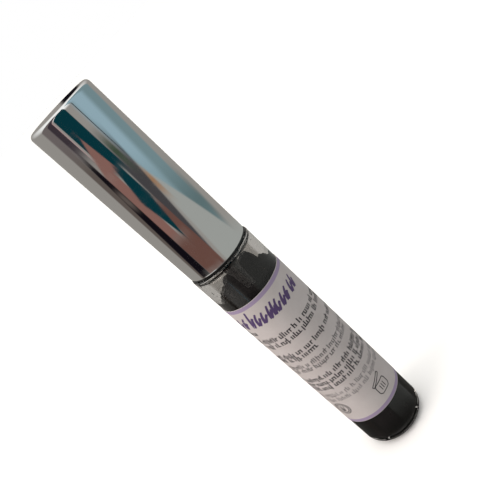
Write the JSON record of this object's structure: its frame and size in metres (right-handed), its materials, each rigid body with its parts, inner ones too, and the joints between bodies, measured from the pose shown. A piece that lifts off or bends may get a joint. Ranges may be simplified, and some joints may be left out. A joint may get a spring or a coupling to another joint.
{
  "type": "mascara tube",
  "caption": "Slim clear mascara tube with a mirror-bright screw cap that carries a stem and brush, a wiper in the neck and a wrapped paper label.",
  "frame": {"origin": "centre of the bottle's base, on the surface that the tube stands on", "axes": "+Z along the tube, from the base to the cap's top; -Y out of the label's front"},
  "size_m": [0.0182, 0.0182, 0.119],
  "materials": {
    "clear_plastic": "gloss",
    "label_paper": "satin",
    "mascara": "gloss",
    "mascara_smear": "satin",
    "wiper_plastic": "satin",
    "foam": "matte",
    "mirror_metallised_plastic": "polished",
    "black_plastic": "satin",
    "stem_plastic": "satin",
    "steel_wire": "satin",
    "bristles": "satin"
  },
  "bodies": {
    "bottle": {"bottle": "clear_plastic", "label": "label_paper", "mascara_fill": "mascara", "mascara_smears": "mascara_smear"},
    "wiper": {"wiper": "wiper_plastic"},
    "washer": {"sealing_washer": "foam"},
    "applicator": {"cap_shell": "mirror_metallised_plastic", "cap_liner": "black_plastic", "wand_stem": "stem_plastic", "brush_core": "steel_wire", "brush_bristles": "bristles"}
  },
  "joints": [
    {"name": "cap_turn", "type": "hinge", "parent": "bottle", "child": "wiper", "pos_m": [0, 0, 0.0846], "axis": [0, 0, 1], "range_deg": [0, 540]},
    {"name": "applicator_withdraw", "type": "slide", "parent": "wiper", "child": "washer", "axis": [0, 0, 1], "range_m": [0, 0.095], "deforming": ["brush_bristles"]},
    {"name": "cap_rise", "type": "slide", "parent": "washer", "child": "applicator", "axis": [0, 0, 1], "range_m": [0, 0.0045]}
  ],
  "couplings": [
    {"joint": "cap_rise", "follows": "cap_turn", "m_per_rad": 0.00047746}
  ]
}
